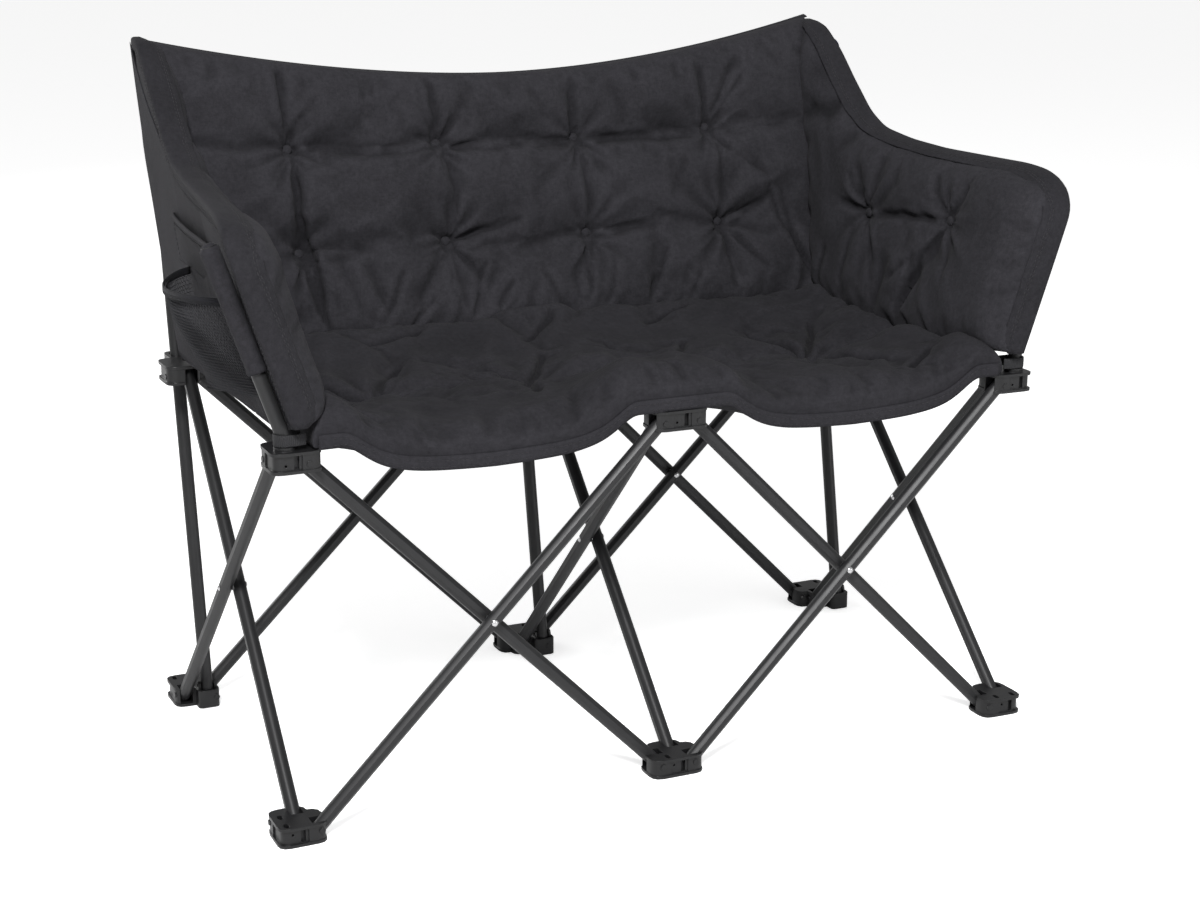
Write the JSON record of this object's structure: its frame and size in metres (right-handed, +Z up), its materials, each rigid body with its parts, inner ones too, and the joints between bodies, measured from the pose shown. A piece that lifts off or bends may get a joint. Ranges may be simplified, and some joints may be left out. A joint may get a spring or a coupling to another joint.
{
  "type": "folding camping loveseat",
  "caption": "Folding two-person camping seat: crossed tube frame with hinged feet and hubs, padded fabric seat, back and arms, side pockets.",
  "frame": {"origin": "middle of the chair's outer box, on the ground under its feet", "axes": "+X to the right of someone looking at the front, +Z up, the front faces -Y"},
  "size_m": [1.2576, 0.7122, 0.9778],
  "materials": {
    "steel": "satin powder coat",
    "plastic": "satin moulded",
    "rivet": "plain",
    "fabric": "matt weave",
    "webbing": "ribbed",
    "net": "open net"
  },
  "bodies": {
    "foot_rear_centre": {"foot_rear_centre": "plastic"},
    "post_centre": {"post_centre": "steel", "post_cap_centre": "fabric", "back_pad": "fabric"},
    "post_left": {"post_left": "steel", "post_cap_left": "fabric"},
    "post_right": {"post_right": "steel", "post_cap_right": "fabric"},
    "tube_front_left_rising": {"tube_front_left_rising": "steel", "rivet_front_left": "rivet"},
    "tube_front_left_falling": {"tube_front_left_falling": "steel"},
    "tube_front_right_rising": {"tube_front_right_rising": "steel", "rivet_front_right": "rivet"},
    "tube_front_right_falling": {"tube_front_right_falling": "steel"},
    "tube_rear_left_rising": {"tube_rear_left_rising": "steel", "rivet_rear_left": "rivet"},
    "tube_rear_left_falling": {"tube_rear_left_falling": "steel"},
    "tube_rear_right_rising": {"tube_rear_right_rising": "steel", "rivet_rear_right": "rivet"},
    "tube_rear_right_falling": {"tube_rear_right_falling": "steel"},
    "tube_side_left_forward": {"tube_side_left_forward": "steel", "rivet_side_left": "rivet"},
    "tube_side_left_rearward": {"tube_side_left_rearward": "steel"},
    "tube_side_centre_forward": {"tube_side_centre_forward": "steel", "rivet_side_centre": "rivet"},
    "tube_side_centre_rearward": {"tube_side_centre_rearward": "steel"},
    "tube_side_right_forward": {"tube_side_right_forward": "steel", "rivet_side_right": "rivet"},
    "tube_side_right_rearward": {"tube_side_right_rearward": "steel"},
    "foot_front_left": {"foot_front_left": "plastic"},
    "hub_front_left": {"hub_front_left": "plastic", "arm_tube_left": "steel", "arm_sleeve_left": "fabric", "arm_pad_left": "fabric", "webbing_left": "webbing", "net_pocket": "net", "pocket_rim": "webbing", "patch_pocket": "fabric"},
    "foot_front_centre": {"foot_front_centre": "plastic"},
    "hub_front_centre": {"hub_front_centre": "plastic"},
    "foot_front_right": {"foot_front_right": "plastic"},
    "hub_front_right": {"hub_front_right": "plastic", "arm_tube_right": "steel", "arm_sleeve_right": "fabric", "arm_pad_right": "fabric", "webbing_right": "webbing"},
    "foot_rear_left": {"foot_rear_left": "plastic"},
    "hub_rear_left": {"hub_rear_left": "plastic"},
    "hub_rear_centre": {"hub_rear_centre": "plastic"},
    "foot_rear_right": {"foot_rear_right": "plastic"},
    "hub_rear_right": {"hub_rear_right": "plastic"},
    "seat_front": {"seat_front_pad": "fabric"},
    "seat_rear": {"seat_rear_pad": "fabric"}
  },
  "joints": [
    {"name": "fold", "type": "hinge", "parent": "foot_rear_centre", "child": "tube_rear_left_falling", "pos_m": [-0.025, 0.2157, 0.0165], "axis": [0, 1, 0], "range_deg": [0, 41.5], "deforming": ["seat_front_pad", "seat_rear_pad", "back_pad", "arm_pad_left", "arm_pad_right", "net_pocket", "pocket_rim", "patch_pocket"]},
    {"name": "hub_rear_left_turn", "type": "hinge", "parent": "tube_rear_left_falling", "child": "hub_rear_left", "pos_m": [-0.5125, 0.2097, 0.5015], "axis": [0, -1, 0], "range_deg": [0, 41.55]},
    {"name": "rivet_rear_left_turn", "type": "hinge", "parent": "tube_rear_left_falling", "child": "tube_rear_left_rising", "pos_m": [-0.26875, 0.2127, 0.259], "axis": [0, -1, 0], "range_deg": [0, 83.05]},
    {"name": "foot_rear_left_turn", "type": "hinge", "parent": "tube_rear_left_rising", "child": "foot_rear_left", "pos_m": [-0.5125, 0.2157, 0.0165], "axis": [0, 1, 0], "range_deg": [0, 41.55]},
    {"name": "post_left_lean", "type": "hinge", "parent": "foot_rear_left", "child": "post_left", "pos_m": [-0.5235, 0.1727, 0.032], "axis": [1, 0, 0], "range_deg": [0, 3.58]},
    {"name": "tube_side_left_forward_turn", "type": "hinge", "parent": "foot_rear_left", "child": "tube_side_left_forward", "pos_m": [-0.5435, 0.1877, 0.0165], "axis": [-1, 0, 0], "range_deg": [0, 41.55]},
    {"name": "rivet_side_left_turn", "type": "hinge", "parent": "tube_side_left_forward", "child": "tube_side_left_rearward", "pos_m": [-0.539, -0.05605, 0.259], "axis": [1, 0, 0], "range_deg": [0, 83.05]},
    {"name": "foot_front_left_turn", "type": "hinge", "parent": "tube_side_left_rearward", "child": "foot_front_left", "pos_m": [-0.5435, -0.2998, 0.0165], "axis": [-1, 0, 0], "range_deg": [0, 41.55]},
    {"name": "hub_front_left_turn", "type": "hinge", "parent": "tube_side_left_forward", "child": "hub_front_left", "pos_m": [-0.5345, -0.2998, 0.5015], "axis": [1, 0, 0], "range_deg": [0, 41.55]},
    {"name": "tube_rear_right_rising_turn", "type": "hinge", "parent": "foot_rear_centre", "child": "tube_rear_right_rising", "pos_m": [0.025, 0.2157, 0.0165], "axis": [0, -1, 0], "range_deg": [0, 41.55]},
    {"name": "hub_rear_right_turn", "type": "hinge", "parent": "tube_rear_right_rising", "child": "hub_rear_right", "pos_m": [0.5125, 0.2097, 0.5015], "axis": [0, 1, 0], "range_deg": [0, 41.55]},
    {"name": "rivet_rear_right_turn", "type": "hinge", "parent": "tube_rear_right_rising", "child": "tube_rear_right_falling", "pos_m": [0.26875, 0.2127, 0.259], "axis": [0, 1, 0], "range_deg": [0, 83.05]},
    {"name": "foot_rear_right_turn", "type": "hinge", "parent": "tube_rear_right_falling", "child": "foot_rear_right", "pos_m": [0.5125, 0.2157, 0.0165], "axis": [0, -1, 0], "range_deg": [0, 41.55]},
    {"name": "post_right_lean", "type": "hinge", "parent": "foot_rear_right", "child": "post_right", "pos_m": [0.5635, 0.1727, 0.032], "axis": [1, 0, 0], "range_deg": [0, 3.58]},
    {"name": "tube_side_right_forward_turn", "type": "hinge", "parent": "foot_rear_right", "child": "tube_side_right_forward", "pos_m": [0.5435, 0.1877, 0.0165], "axis": [-1, 0, 0], "range_deg": [0, 41.55]},
    {"name": "rivet_side_right_turn", "type": "hinge", "parent": "tube_side_right_forward", "child": "tube_side_right_rearward", "pos_m": [0.539, -0.05605, 0.259], "axis": [1, 0, 0], "range_deg": [0, 83.05]},
    {"name": "foot_front_right_turn", "type": "hinge", "parent": "tube_side_right_rearward", "child": "foot_front_right", "pos_m": [0.5435, -0.2998, 0.0165], "axis": [-1, 0, 0], "range_deg": [0, 41.55]},
    {"name": "hub_front_right_turn", "type": "hinge", "parent": "tube_side_right_forward", "child": "hub_front_right", "pos_m": [0.5345, -0.2998, 0.5015], "axis": [1, 0, 0], "range_deg": [0, 41.55]},
    {"name": "post_centre_lean", "type": "hinge", "parent": "foot_rear_centre", "child": "post_centre", "pos_m": [0.02, 0.1727, 0.032], "axis": [1, 0, 0], "range_deg": [0, 3.58]},
    {"name": "tube_side_centre_forward_turn", "type": "hinge", "parent": "foot_rear_centre", "child": "tube_side_centre_forward", "pos_m": [0, 0.1877, 0.0165], "axis": [-1, 0, 0], "range_deg": [0, 41.55]},
    {"name": "hub_front_centre_turn", "type": "hinge", "parent": "tube_side_centre_forward", "child": "hub_front_centre", "pos_m": [0, -0.2998, 0.5015], "axis": [1, 0, 0], "range_deg": [0, 41.55]},
    {"name": "rivet_side_centre_turn", "type": "hinge", "parent": "tube_side_centre_forward", "child": "tube_side_centre_rearward", "pos_m": [0, -0.05605, 0.259], "axis": [1, 0, 0], "range_deg": [0, 83.05]},
    {"name": "hub_rear_centre_turn", "type": "hinge", "parent": "tube_side_centre_rearward", "child": "hub_rear_centre", "pos_m": [0, 0.1877, 0.5015], "axis": [-1, 0, 0], "range_deg": [0, 41.55]},
    {"name": "foot_front_centre_turn", "type": "hinge", "parent": "tube_side_centre_rearward", "child": "foot_front_centre", "pos_m": [0, -0.2998, 0.0165], "axis": [-1, 0, 0], "range_deg": [0, 41.55]},
    {"name": "tube_front_left_falling_turn", "type": "hinge", "parent": "foot_front_centre", "child": "tube_front_left_falling", "pos_m": [-0.025, -0.3278, 0.0165], "axis": [0, 1, 0], "range_deg": [0, 41.55]},
    {"name": "rivet_front_left_turn", "type": "hinge", "parent": "tube_front_left_falling", "child": "tube_front_left_rising", "pos_m": [-0.26875, -0.3248, 0.259], "axis": [0, -1, 0], "range_deg": [0, 83.05]},
    {"name": "tube_front_right_rising_turn", "type": "hinge", "parent": "foot_front_centre", "child": "tube_front_right_rising", "pos_m": [0.025, -0.3278, 0.0165], "axis": [0, -1, 0], "range_deg": [0, 41.55]},
    {"name": "rivet_front_right_turn", "type": "hinge", "parent": "tube_front_right_rising", "child": "tube_front_right_falling", "pos_m": [0.26875, -0.3248, 0.259], "axis": [0, 1, 0], "range_deg": [0, 83.05]},
    {"name": "seat_rear_fold", "type": "hinge", "parent": "hub_rear_centre", "child": "seat_rear", "pos_m": [0, 0.16895, 0.512], "axis": [-1, 0, 0], "range_deg": [0, 80.05]},
    {"name": "seat_front_fold", "type": "hinge", "parent": "hub_front_centre", "child": "seat_front", "pos_m": [0, -0.32105, 0.519], "axis": [1, 0, 0], "range_deg": [0, 80.05]}
  ],
  "couplings": [
    {"joint": "hub_rear_left_turn", "follows": "fold", "ratio": 1},
    {"joint": "rivet_rear_left_turn", "follows": "fold", "ratio": 2},
    {"joint": "foot_rear_left_turn", "follows": "fold", "ratio": 1},
    {"joint": "post_left_lean", "follows": "fold", "ratio": 0.085},
    {"joint": "tube_side_left_forward_turn", "follows": "fold", "ratio": 1},
    {"joint": "rivet_side_left_turn", "follows": "fold", "ratio": 2},
    {"joint": "foot_front_left_turn", "follows": "fold", "ratio": 1},
    {"joint": "hub_front_left_turn", "follows": "fold", "ratio": 1},
    {"joint": "tube_rear_right_rising_turn", "follows": "fold", "ratio": 1},
    {"joint": "hub_rear_right_turn", "follows": "fold", "ratio": 1},
    {"joint": "rivet_rear_right_turn", "follows": "fold", "ratio": 2},
    {"joint": "foot_rear_right_turn", "follows": "fold", "ratio": 1},
    {"joint": "post_right_lean", "follows": "fold", "ratio": 0.085},
    {"joint": "tube_side_right_forward_turn", "follows": "fold", "ratio": 1},
    {"joint": "rivet_side_right_turn", "follows": "fold", "ratio": 2},
    {"joint": "foot_front_right_turn", "follows": "fold", "ratio": 1},
    {"joint": "hub_front_right_turn", "follows": "fold", "ratio": 1},
    {"joint": "post_centre_lean", "follows": "fold", "ratio": 0.085},
    {"joint": "tube_side_centre_forward_turn", "follows": "fold", "ratio": 1},
    {"joint": "hub_front_centre_turn", "follows": "fold", "ratio": 1},
    {"joint": "rivet_side_centre_turn", "follows": "fold", "ratio": 2},
    {"joint": "hub_rear_centre_turn", "follows": "fold", "ratio": 1},
    {"joint": "foot_front_centre_turn", "follows": "fold", "ratio": 1},
    {"joint": "tube_front_left_falling_turn", "follows": "fold", "ratio": 1},
    {"joint": "rivet_front_left_turn", "follows": "fold", "ratio": 2},
    {"joint": "tube_front_right_rising_turn", "follows": "fold", "ratio": 1},
    {"joint": "rivet_front_right_turn", "follows": "fold", "ratio": 2},
    {"joint": "seat_rear_fold", "follows": "fold", "ratio": 1.9277},
    {"joint": "seat_front_fold", "follows": "fold", "ratio": 1.9277}
  ]
}
